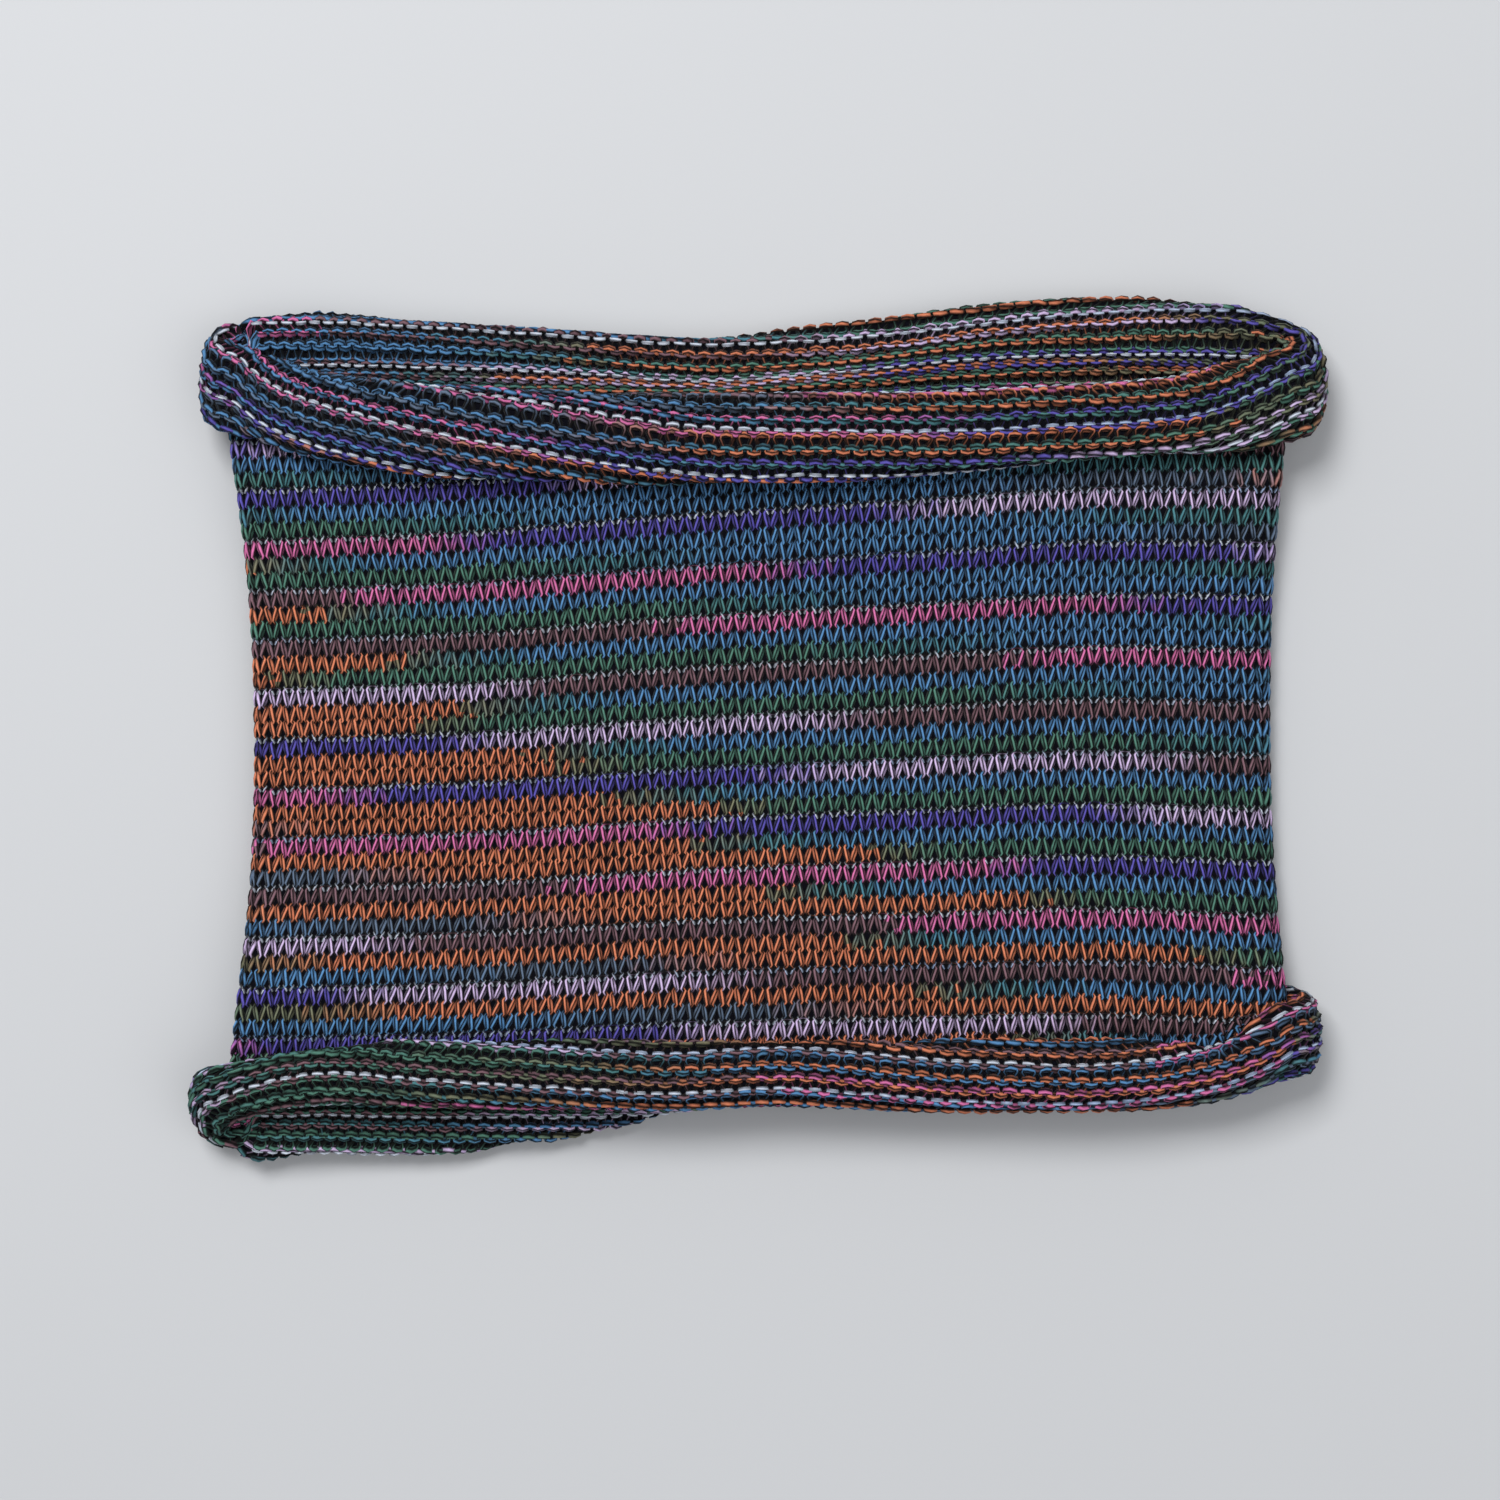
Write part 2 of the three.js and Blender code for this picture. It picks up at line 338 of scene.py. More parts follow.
class Cloth:
    """The middle surface of the knitting, on a grid of wales by courses.

    On the flat part a point is at its course's height. Past the start of a roll it goes on along the
    roll's section by arc length, at the roll's own course spacing, plus what the courses have slid. Round
    the tube it goes straight across the front and the back and in a half circle through each side fold.
    """

    def __init__(self, sizes):
        self.wales = 2 * sizes.wales
        self.u = np.arange(self.wales + 1) / self.wales
        self.v = np.arange(0, COURSES + COURSE_STEP, COURSE_STEP)
        across, turn = ring_place(self.u, ROLL_FOLD_SHARE)
        x0 = FLAT_LEFT + FLAT_WIDTH * across
        top, bottom = self.rolls(sizes, x0, turn)
        y, off = self.lay_courses(top, bottom)
        reach = np.clip(y, -MOUTH, MOUTH)
        low, high = back_height(reach), front_height(reach)
        near_mouth = ease((np.abs(y) - 66) / 22)
        near_side = ease((np.abs(x0)[:, None] - 84) / 46)
        radius = mix((high - low) / 2, CORNER_RADIUS, near_side * near_mouth)
        end = mix((high - low) / 2, CORNER_RADIUS, near_mouth)
        left_x, right_x = -half_width_left(reach) + end, half_width_right(reach) - end
        bend = np.pi * (radius + off)
        across, turn = ring_place(self.u[:, None], bend / (2 * FLAT_WIDTH + 2 * bend))
        x = mix(left_x, right_x, across) + (radius + off) * np.cos(turn)
        z = (high + low) / 2 + (radius + off) * np.sin(turn)
        self.place = np.stack([x, y, z], axis=-1)
        along_u = np.gradient(self.place, axis=0)
        along_u[0] = along_u[-1] = self.place[1] - self.place[-2]
        along_v = np.gradient(self.place, axis=1)
        self.normal = unit(np.cross(along_u, along_v))

    def rolls(self, sizes, x0, turn):
        """The two rolls, wale by wale.

        For each: where its lower edge and its crest lie, its height off the cloth, its course spacing,
        how far its courses have slid, and its section with the running length along it.
        """
        ends = ease((np.abs(x0) - 92) / 42)
        left = x0 < 0
        top_height = mix(sizes.top_roll_height / MM, np.where(left, *TOP_END_HEIGHTS), ends)
        bottom_height = mix(sizes.bottom_roll_height / MM, np.where(left, *BOTTOM_END_HEIGHTS), ends)
        top = {
            "sign": 1.0,
            "edge": ring_value(TOP_FRONT_EDGE(x0), TOP_BACK_CREST(x0) - TOP_BACK_WIDTH, turn),
            "crest": ring_value(TOP_FRONT_CREST(x0), TOP_BACK_CREST(x0), turn),
            "height": under_value(top_height, UNDER_HEIGHT, turn),
            "pitch": sizes.top_course / MM,
            "slide": ring_value(TOP_FRONT_SLIDE(x0), TOP_BACK_SLIDE, turn),
            "slid_by": 24.0,
            "late": ring_value(0.0, TOP_BACK_LATE(x0), turn),
        }
        bottom = {
            "sign": -1.0,
            "edge": ring_value(BOTTOM_FRONT_EDGE(x0), BOTTOM_BACK_CREST(x0) + BOTTOM_BACK_WIDTH, turn),
            "crest": ring_value(BOTTOM_FRONT_CREST(x0), BOTTOM_BACK_CREST(x0), turn),
            "height": under_value(bottom_height, UNDER_HEIGHT, turn),
            "pitch": sizes.bottom_course / MM,
            "slide": np.full(len(x0), BOTTOM_SLIDE),
            "slid_by": 15.0,
            "late": np.zeros(len(x0)),
        }
        for roll in (top, bottom):
            width = roll["sign"] * (roll["crest"] - roll["edge"])
            out, up = roll_section(width, roll["height"], np.minimum(3.0, 0.42 * roll["height"]))
            steps = np.hypot(np.diff(out, axis=1), np.diff(up, axis=1))
            roll["length"] = np.concatenate([np.zeros((len(x0), 1)), np.cumsum(steps, axis=1)], axis=1)
            if roll is top:
                out, up = with_ridge(out, up, width, x0, turn)
            roll["y"] = roll["edge"][:, None] + roll["sign"] * out
            roll["up"] = up
        return top, bottom

    def lay_courses(self, top, bottom):
        """Place along the tube and height off the cloth of every grid point.

        Past a roll's lower edge the way along its section is the number of courses times their spacing,
        plus the slide eased in over slid_by, plus the late slide eased in from 9 to 21 mm.
        """
        flat_across = ring_place(self.u, FOLD_SHARE)[0]
        y = course_height(self.v[None, :], self.u[:, None], flat_across[:, None])
        off = np.zeros(y.shape)
        for roll in (top, bottom):
            wales = range(len(self.u))
            start = np.array([np.interp(roll["edge"][i], y[i], self.v) for i in wales])
            way = roll["sign"] * (self.v[None, :] - start[:, None]) * roll["pitch"]
            rolled = way > 0
            slide, late = roll["slide"][:, None], roll["late"][:, None]
            way = way + slide * ease(way / roll["slid_by"]) + late * ease((way - 9) / 12)
            roll["start"] = start
            roll["stop"] = start + roll["sign"] * roll["length"][:, -1] / roll["pitch"]
            roll["rolled"] = rolled
            roll["laid_y"] = np.array([np.interp(way[i], roll["length"][i], roll["y"][i]) for i in wales])
            roll["laid_up"] = np.array([np.interp(way[i], roll["length"][i], roll["up"][i]) for i in wales])
        for roll in (top, bottom):
            y = np.where(roll["rolled"], roll["laid_y"], y)
            off = np.where(roll["rolled"], roll["laid_up"], off)
        self.edge_top, self.last = top["start"], top["stop"]
        self.edge_bottom, self.first = bottom["start"], bottom["stop"]
        return y, off

    def at(self, u, v):
        """Place and outward normal at any wale and course, straight between the four grid points round it."""
        a = np.mod(u, 1.0) * self.wales
        b = np.clip(v / COURSE_STEP, 0, len(self.v) - 1.001)
        i, j = a.astype(int), b.astype(int)
        s, t = (a - i)[:, None], (b - j)[:, None]

        def blend(grid):
            low = mix(grid[i, j], grid[i + 1, j], s)
            high = mix(grid[i, j + 1], grid[i + 1, j + 1], s)
            return mix(low, high, t)

        return blend(self.place), unit(blend(self.normal))

    def zone(self, u, v):
        """Place in ZONES of a wale and course, and -1 past the ends of the tube.

        The body reaches one course into each roll, where the cloth is still hidden under it.
        """
        u = np.mod(u, 1.0)
        top, bottom = np.interp(u, self.u, self.edge_top), np.interp(u, self.u, self.edge_bottom)
        last, first = np.interp(u, self.u, self.last), np.interp(u, self.u, self.first)
        zone = np.where(v > top + 1.0, 2, np.where(v < bottom - 1.0, 0, BODY))
        return np.where((v > last) | (v < first), -1, zone)


# ---------------------------------------------------------------- yarns

# Kinds of yarn: thickness (mm), how far its legs stand out on the knit side and its heads and feet on the
# purl side (mm), how much thinner a head is than a leg and how much thicker a bump is on a roll (shares),
# and the painted shade in the grooves between its plies and the painted highlight on their crests, as
# shares of its dye colour. For each yarn: its kind, the start of its course in a round of four, and how
# many courses its loops reach up and down.
SPUN = {
    "thick": 1.74, "front": 0.4, "head": 0.62, "foot": 0.62, "pinch": 0.0, "plump": 0.24,
    "groove": 0.04, "crest": 1.58,
}
THIN = {
    "thick": 1.16, "front": 0.14, "head": 0.0, "foot": 0.85, "pinch": 0.6, "plump": 0.04,
    "groove": 0.6, "crest": 1.4,
}
YARNS = {
    "berry": {**SPUN, "start": -0.25, "up": 0.8, "down": 0.84},
    "white": {**THIN, "start": 0.45, "up": 0.36, "down": 0.33},
    "green": {**SPUN, "start": 1.3, "up": 0.8, "down": 0.78},
    "blue": {**SPUN, "start": 2.45, "up": 0.84, "down": 0.8},
}
SWING_SHIFT = 0.35  # makes the stretch of a loop on the purl side longer than that on the knit side
ROLL_LEGS = 0.75  # how far legs stand out on the knit side of a roll, as a share of that in the body

# dye repeat of each yarn along its length: where it starts, its length in rounds, and its colours with
# their places in the repeat; each colour name is a setting in GaiterColours
DYES = {
    "berry": {
        "start": 15.057, "repeat": 0.8425,
        "colours": [("pink", 0.0), ("pink", 0.23), ("violet", 0.275), ("violet", 0.49), ("lavender", 0.53),
                    ("lavender", 0.70), ("mauve", 0.74), ("mauve", 0.975)],
    },
    "white": {
        "start": 0.0, "repeat": 1.31,
        "colours": [("white", 0.0), ("white", 0.45), ("pale_blue", 0.6), ("white", 0.8)],
    },
    "green": {
        "start": 12.089, "repeat": 0.9274,
        "colours": [("olive", 0.0), ("green", 0.04), ("green", 0.28), ("teal", 0.34), ("blue", 0.40),
                    ("blue", 0.58), ("slate", 0.66), ("slate", 0.72), ("orange", 0.79), ("orange", 0.975)],
    },
    "blue": {
        "start": 14.041, "repeat": 0.9636,
        "colours": [("olive", 0.0), ("teal", 0.04), ("blue", 0.075), ("blue", 0.38), ("teal", 0.45),
                    ("green", 0.62), ("olive", 0.70), ("orange", 0.75), ("orange", 0.97)],
    },
}


def yarn_rings(cloth, sizes, name):
    """Middle line, side directions, course, dye and length of one yarn, ring by ring.

    Through each loop the phase t runs one full turn. The yarn moves on by t plus a share of the sine of
    2t, so that its legs splay. It climbs by the cosine of t, flattened by a little of the cosine of 3t.
    Off the middle surface it follows the cosine of 2t plus SWING_SHIFT: where that is negative the legs
    stand out on the knit side, and where it is positive heads and feet stand out on the purl side.
    """
    kind = YARNS[name]
    steps = sizes.loop_steps
    per_round = sizes.wales * steps
    ring = np.arange(int(per_round * (COURSES / YARN_COUNT + 2))) - per_round
    t = 2 * np.pi * np.mod(ring, steps) / steps
    middle = ring / per_round
    stitch = np.floor((ring + steps / 2) / steps).astype(int)
    chance = np.random.default_rng(len(name) * 7 + ord(name[0]))  # a fixed draw of its own for each yarn
    loose = chance.normal(size=(stitch.max() - stitch.min() + 2, 4))
    wander = loose[stitch - stitch.min()]
    u = middle + sizes.splay * np.sin(2 * t) / sizes.wales
    up, down = kind["up"], kind["down"]
    lift = (up + down) / 2 * (np.cos(t) - 0.11 * np.cos(3 * t)) / 0.89
    lift = lift + (up - down) / 4 * (np.cos(2 * t) + 1)
    course = YARN_COUNT * middle + kind["start"]
    v = course + lift * (1 + 0.04 * wander[:, 0]) + 0.05 * wander[:, 1]
    swing = np.cos(2 * t) + SWING_SHIFT
    rolled = cloth.zone(u, course) != BODY
    back = np.where(np.cos(t) > 0, kind["head"], kind["foot"]) * swing / (1 + SWING_SHIFT)
    legs = np.where(rolled, ROLL_LEGS, 1.0) * kind["front"] * swing / (1 - SWING_SHIFT)
    off = np.where(swing > 0, -back, -legs)
    thick = kind["thick"] * (1 + 0.05 * wander[:, 2]) * (1 - kind["pinch"] * np.clip(np.cos(t), 0, 1))
    bump = np.clip(swing / (1 + SWING_SHIFT), 0, 1)
    thick = thick * (1 + np.where(rolled, kind["plump"] * bump, 0.0))
    place, normal = cloth.at(u, v)
    core = place + normal * off[:, None]
    core[1:-1] = 0.25 * core[:-2] + 0.5 * core[1:-1] + 0.25 * core[2:]
    tangent = unit(np.gradient(core, axis=0))
    side = unit(np.cross(tangent, normal))
    out = np.cross(side, tangent)
    walked = np.concatenate([[0.0], np.cumsum(np.linalg.norm(np.diff(core, axis=0), axis=1))])
    dye = (middle - DYES[name]["start"]) / DYES[name]["repeat"]
    return {
        "core": core, "off": off, "side": side, "out": out, "u": u, "course": course, "dye": dye,
        "walked": walked, "thick": thick,
    }


def tube_faces(rings, sides):
    """Four corners of every face of a tube: ring i and i + 1, side k and k + 1 round a closed ring."""
    i, k = np.meshgrid(rings, np.arange(sides), indexing="ij")
    i, k = i.ravel(), k.ravel()
    nxt = np.mod(k + 1, sides)
    corners = np.stack([i * sides + k, i * sides + nxt, (i + 1) * sides + nxt, (i + 1) * sides + k], axis=1)
    return corners, i, k


def write_mesh(name, points, faces, layers, values):
    """Puts whole arrays into a mesh: points in metres, four corners a face, map layers and point values."""
    mesh = bpy.data.meshes.new(name)
    mesh.vertices.add(len(points))
    mesh.vertices.foreach_set("co", points.astype(np.float32).ravel())
    mesh.loops.add(faces.size)
    mesh.loops.foreach_set("vertex_index", faces.astype(np.int32).ravel())
    mesh.polygons.add(len(faces))
    mesh.polygons.foreach_set("loop_start", np.arange(0, faces.size, 4, dtype=np.int32))
    mesh.polygons.foreach_set("use_smooth", np.ones(len(faces), dtype=bool))
    mesh.update(calc_edges=True)
    for layer, uv in layers.items():
        uv_map = mesh.uv_layers.new(name=layer)
        uv_map.data.foreach_set("uv", uv.astype(np.float32).ravel())
    for label, value in values.items():
        attribute = mesh.attributes.new(label, "FLOAT", "POINT")
        attribute.data.foreach_set("value", value.astype(np.float32))
    obj = bpy.data.objects.new(name, mesh)
    bpy.context.scene.collection.objects.link(obj)
    return obj


def yarn_piece(cloth, sizes, name, part):
    """One yarn's loops in one part of the tube, as round tubes on its middle line.

    A loop belongs to the part that its middle ring lies in. The Yarn map runs along the yarn in steps of
    10 mm and once round it, and the OFBake map lays the loops out in rows of strips.
    """
    rings = yarn_rings(cloth, sizes, name)
    sides = sizes.yarn_sides
    steps = sizes.loop_steps
    part_of = cloth.zone(rings["u"], rings["course"])
    loop_start = (np.arange(len(part_of)) // steps) * steps
    part_of = part_of[loop_start + steps // 2]
    used = np.nonzero(part_of[:-1] == ZONES.index(part))[0]
    angle = 2 * np.pi * np.arange(sides) / sides
    radius = rings["thick"][:, None, None] / 2
    around = np.cos(angle)[None, :, None] * rings["side"][:, None, :]
    around = around + np.sin(angle)[None, :, None] * rings["out"][:, None, :]
    points = (rings["core"][:, None, :] + radius * around).reshape(-1, 3) * MM
    corners, i, k = tube_faces(used, sides)
    kept, faces = np.unique(corners, return_inverse=True)
    walked = rings["walked"]
    along = np.stack([walked[i], walked[i], walked[i + 1], walked[i + 1]], axis=1)
    round_it = np.stack([k, k + 1, k + 1, k], axis=1) / sides
    yarn_uv = np.stack([along / 10.0, round_it], axis=-1)
    per_row = steps * sizes.bake_loops
    rows = int(np.ceil(len(used) / per_row))
    order = np.searchsorted(used, i)
    row, col = order // per_row, np.mod(order, per_row)
    bake_u = np.stack([col, col, col + 1, col + 1], axis=1) / (per_row + 1) + 0.0005
    bake_v = (row[:, None] + 0.06 + 0.88 * round_it) / rows
    bake_uv = np.stack([bake_u, bake_v], axis=-1)
    ring_of = kept // sides
    height = rings["thick"][ring_of] / 2 * np.sin(angle[np.mod(kept, sides)])
    # proud, the height off the middle surface, sets the painted shade deep in the cloth
    values = {"dye": rings["dye"][ring_of], "proud": rings["off"][ring_of] + height}
    maps = {"Yarn": yarn_uv, "OFBake": bake_uv}
    return write_mesh(f"{part}_{name}_yarn", points[kept], faces.reshape(-1, 4), maps, values)


# ---------------------------------------------------------------- finishes


def linear(colour):
    """Screen colour, 0 to 1, to the linear colour that a shader takes, by the usual screen curve."""
    c = np.array(colour, dtype=float)
    c = np.where(c <= 0.04045, c / 12.92, ((c + 0.055) / 1.055) ** 2.4)
    return (float(c[0]), float(c[1]), float(c[2]), 1.0)


def node(tree, kind, **settings):
    """A new node of that kind with its settings, and its inputs by name."""
    made = tree.nodes.new(kind)
    inputs = settings.pop("inputs", {})
    for key, value in settings.items():
        setattr(made, key, value)
    for key, value in inputs.items():
        made.inputs[key].default_value = value
    return made


def maths(tree, operation, a, b=None):
    """A Math node of a and b, each a number or another node's output."""
    made = tree.nodes.new("ShaderNodeMath")
    made.operation = operation
    for slot, value in enumerate((a, b)):
        if isinstance(value, (int, float)):
            made.inputs[slot].default_value = value
        elif value is not None:
            tree.links.new(value, made.inputs[slot])
    return made.outputs[0]


def ply_group():
    """Shared look of a twisted yarn: spiral plies, fine hairs, and painted shade in the grooves between
    plies.

    The spiral is the length times the twist plus four times the way round. A ply is the sine of it, and
    the hairs are fine noise stretched along it. Height and Shade are sums of the two; Shade is painted
    shade, low in the grooves between plies and high on their crests.
    """
    name = "Twisted plies"
    if name in bpy.data.node_groups:
        return bpy.data.node_groups[name]
    group = bpy.data.node_groups.new(name, "ShaderNodeTree")
    face = group.interface
    face.new_socket("Length", in_out="INPUT", socket_type="NodeSocketFloat")
    face.new_socket("Around", in_out="INPUT", socket_type="NodeSocketFloat")
    face.new_socket("Twist", in_out="INPUT", socket_type="NodeSocketFloat")
    face.new_socket("Shade", in_out="OUTPUT", socket_type="NodeSocketFloat")
    face.new_socket("Height", in_out="OUTPUT", socket_type="NodeSocketFloat")
    enter = group.nodes.new("NodeGroupInput")
    leave = group.nodes.new("NodeGroupOutput")
    turn = maths(group, "MULTIPLY", enter.outputs["Length"], enter.outputs["Twist"])
    spiral = maths(group, "ADD", turn, maths(group, "MULTIPLY", enter.outputs["Around"], 4.0))
    wave = maths(group, "SINE", maths(group, "MULTIPLY", spiral, 2 * np.pi))
    ply = maths(group, "ADD", maths(group, "MULTIPLY", wave, 0.5), 0.5)
    spot = group.nodes.new("ShaderNodeCombineXYZ")
    group.links.new(maths(group, "MULTIPLY", enter.outputs["Length"], 3.0), spot.inputs[0])
    group.links.new(maths(group, "MULTIPLY", spiral, 3.0), spot.inputs[1])
    hairs = node(group, "ShaderNodeTexNoise", inputs={"Scale": 3.0, "Detail": 3.0, "Roughness": 0.6})
    group.links.new(spot.outputs[0], hairs.inputs["Vector"])
    height = maths(group, "ADD", ply, maths(group, "MULTIPLY", hairs.outputs["Fac"], 0.7))
    hair_shade = maths(group, "MULTIPLY", hairs.outputs["Fac"], 0.9)
    # painted shade: low in the grooves between plies, high on their crests
    shade = maths(group, "ADD", maths(group, "MULTIPLY", ply, 0.75), hair_shade)
    group.links.new(shade, leave.inputs["Shade"])
    group.links.new(height, leave.inputs["Height"])
    return group


def dye_ramp(tree, name, colours, way):
    """Colour of the yarn: its dye repeat, with the ends of each colour field shifted a little by noise."""
    dye = node(tree, "ShaderNodeAttribute", attribute_name="dye", attribute_type="GEOMETRY")
    drift = node(tree, "ShaderNodeTexNoise", noise_dimensions="1D", inputs={"Scale": 0.9, "Detail": 2.0})
    tree.links.new(way, drift.inputs["W"])
    shift = maths(tree, "MULTIPLY", maths(tree, "SUBTRACT", drift.outputs["Fac"], 0.5), 0.07)
    ramp = tree.nodes.new("ShaderNodeValToRGB")
    tree.links.new(maths(tree, "FRACT", maths(tree, "ADD", dye.outputs["Fac"], shift)), ramp.inputs["Fac"])
    stops = DYES[name]["colours"]
    bar = ramp.color_ramp
    while len(bar.elements) > 1:
        bar.elements.remove(bar.elements[-1])
    bar.elements[0].position = stops[0][1]
    bar.elements[0].color = linear(getattr(colours, stops[0][0]))
    for shade, position in stops[1:]:
        bar.elements.new(position).color = linear(getattr(colours, shade))
    return ramp.outputs["Color"]


MIX_A, MIX_B, MIX_RESULT = 6, 7, 2  # places of a Mix node's colour sockets


def multiplied(tree, colour, value):
    """A colour times a value."""
    made = node(tree, "ShaderNodeMix", data_type="RGBA", blend_type="MULTIPLY")
    made.inputs[0].default_value = 1.0
    tree.links.new(colour, made.inputs[MIX_A])
    tree.links.new(value, made.inputs[MIX_B])
    return made.outputs[MIX_RESULT]


def painted_depth_shade(tree, around, purl_painted_shade):
    """Painted shade from how far a point stands out of the cloth on the side it looks to, darker on the purl
    side.

    A point stands proud of the middle surface by the proud value, in mm. That is turned round, and taken
    as a little less, for the half of the yarn that looks to the purl side. Deep points are painted near
    black, as the shade down in the cloth.
    """
    proud = node(tree, "ShaderNodeAttribute", attribute_name="proud", attribute_type="GEOMETRY")
    deep = node(
        tree, "ShaderNodeMapRange", interpolation_type="SMOOTHSTEP",
        inputs={"From Min": 0.16, "From Max": 0.95, "To Min": 0.01, "To Max": 1.0},
    )
    purl_side = maths(tree, "GREATER_THAN", around, 0.5)
    facing = maths(tree, "SUBTRACT", 1.0, maths(tree, "MULTIPLY", purl_side, 1.72))
    tree.links.new(maths(tree, "MULTIPLY", proud.outputs["Fac"], facing), deep.inputs["Value"])
    # painted shade over the half of the yarn that looks to the purl side
    purl = maths(tree, "MULTIPLY", purl_side, purl_painted_shade)
    return maths(tree, "MULTIPLY", deep.outputs[0], maths(tree, "SUBTRACT", 1.0, purl))


def yarn_material(name, finish, colours):
    """Matt spun yarn: its dye, with painted shade in the grooves between plies and deep in the cloth, and
    painted highlight on the ply crests.
    """
    material = bpy.data.materials.new(f"{name} yarn")
    material.use_nodes = True
    tree = material.node_tree
    shader = tree.nodes["Principled BSDF"]
    shader.inputs["Roughness"].default_value = finish.yarn_roughness
    shader.inputs["Specular IOR Level"].default_value = 0.12
    shader.inputs["Sheen Weight"].default_value = 0.03
    shader.inputs["Sheen Roughness"].default_value = 0.5
    way = node(tree, "ShaderNodeUVMap", uv_map="Yarn")
    split = tree.nodes.new("ShaderNodeSeparateXYZ")
    tree.links.new(way.outputs[0], split.inputs[0])
    length, around = split.outputs[0], split.outputs[1]
    plies = tree.nodes.new("ShaderNodeGroup")
    plies.node_tree = ply_group()
    plies.inputs["Twist"].default_value = finish.twist
    tree.links.new(length, plies.inputs["Length"])
    tree.links.new(around, plies.inputs["Around"])
    # groove and crest: painted shade in the grooves between plies and painted highlight on their crests
    groove, crest = YARNS[name]["groove"], YARNS[name]["crest"]
    grooves = node(
        tree, "ShaderNodeMapRange",
        inputs={"From Min": 0.52, "From Max": 1.3, "To Min": groove, "To Max": crest},
    )
    tree.links.new(plies.outputs["Shade"], grooves.inputs["Value"])
    # the dye times the painted ply shade and highlight
    dyed = multiplied(tree, dye_ramp(tree, name, colours, length), grooves.outputs[0])
    # painted shade deep in the cloth and on the purl side
    dye_under_painted_shade = multiplied(tree, dyed, painted_depth_shade(tree, around, finish.purl_painted_shade))
    tree.links.new(dye_under_painted_shade, shader.inputs["Base Color"])
    bump = node(tree, "ShaderNodeBump", inputs={"Strength": 0.6, "Distance": 0.0003})
    tree.links.new(plies.outputs["Height"], bump.inputs["Height"])
    tree.links.new(bump.outputs[0], shader.inputs["Normal"])
    return material


def shade_sheet_material(finish):
    """Near-black sheet between the loops, painted shade of the gaps and partly a dark core strand, with a
    faint mottled navy tone.
    """
    material = bpy.data.materials.new("Dark core and painted shade")
    material.use_nodes = True
    tree = material.node_tree
    shader = tree.nodes["Principled BSDF"]
    shader.inputs["Roughness"].default_value = 0.95
    shader.inputs["Specular IOR Level"].default_value = 0.05
    way = tree.nodes.new("ShaderNodeTexCoord")
    noise = node(tree, "ShaderNodeTexNoise", inputs={"Scale": 900.0, "Detail": 3.0})
    tree.links.new(way.outputs["Object"], noise.inputs["Vector"])
    tone = node(tree, "ShaderNodeMix", data_type="RGBA")
    tone.inputs[MIX_A].default_value = (0.001, 0.001, 0.002, 1)
    tone.inputs[MIX_B].default_value = (finish.core_shade_tone, finish.core_shade_tone, finish.core_shade_tone * 1.8, 1)
    tree.links.new(noise.outputs["Fac"], tone.inputs[0])
    tree.links.new(tone.outputs[MIX_RESULT], shader.inputs["Base Color"])
    return material


# ---------------------------------------------------------------- settings


class GaiterSizes(bpy.types.PropertyGroup):
    """Sizes of the knitting"""

    wales: bpy.props.IntProperty(
        name="Wales", description="Columns of loops round the tube", default=138, min=40
    )
    loop_steps: bpy.props.IntProperty(
        name="Steps per loop", description="Rings along each loop", default=12, min=8
    )
    yarn_sides: bpy.props.IntProperty(
        name="Yarn sides", description="Faces round each yarn", default=4, min=3
    )
    bake_loops: bpy.props.IntProperty(
        name="Loops per strip", description="Loops side by side on the bake map", default=24, min=1
    )
    splay: bpy.props.FloatProperty(
        name="Splay", description="How far the legs lean out, in wales", default=0.31
    )
    top_course: bpy.props.FloatProperty(
        name="Top course", description="Course spacing in the top roll",
        default=2.8 * MM, min=MM, unit="LENGTH",
    )
    bottom_course: bpy.props.FloatProperty(
        name="Bottom course", description="Course spacing in the bottom roll",
        default=2.5 * MM, min=MM, unit="LENGTH",
    )
    top_roll_height: bpy.props.FloatProperty(
        name="Top roll height", description="Thickness of the top roll on the front",
        default=10.3 * MM, min=4 * MM, unit="LENGTH",
    )
    bottom_roll_height: bpy.props.FloatProperty(
        name="Bottom roll height", description="Thickness of the bottom roll on the front",
        default=8.0 * MM, min=4 * MM, unit="LENGTH",
    )


def dye_colour(name, red, green, blue):
    """A colour setting whose default is a screen colour, 0 to 255."""
    return bpy.props.FloatVectorProperty(
        name=name, description=f"{name} stretches of the dyed yarns", subtype="COLOR_GAMMA",
        default=(red / 255, green / 255, blue / 255), min=0.0, max=1.0,
    )


class GaiterColours(bpy.types.PropertyGroup):
    """Dyes of the yarns"""

    pink: dye_colour("Pink", 189, 100, 147)
    violet: dye_colour("Violet", 82, 75, 155)
    lavender: dye_colour("Lavender", 185, 165, 200)
    mauve: dye_colour("Mauve", 112, 84, 92)
    white: dye_colour("White", 200, 208, 222)
    pale_blue: dye_colour("Pale blue", 150, 170, 205)
    olive: dye_colour("Olive", 112, 105, 82)
    green: dye_colour("Green", 72, 112, 98)
    teal: dye_colour("Teal", 65, 112, 122)
    blue: dye_colour("Blue", 77, 122, 165)
    slate: dye_colour("Slate", 85, 100, 120)
    orange: dye_colour("Orange", 190, 113, 83)


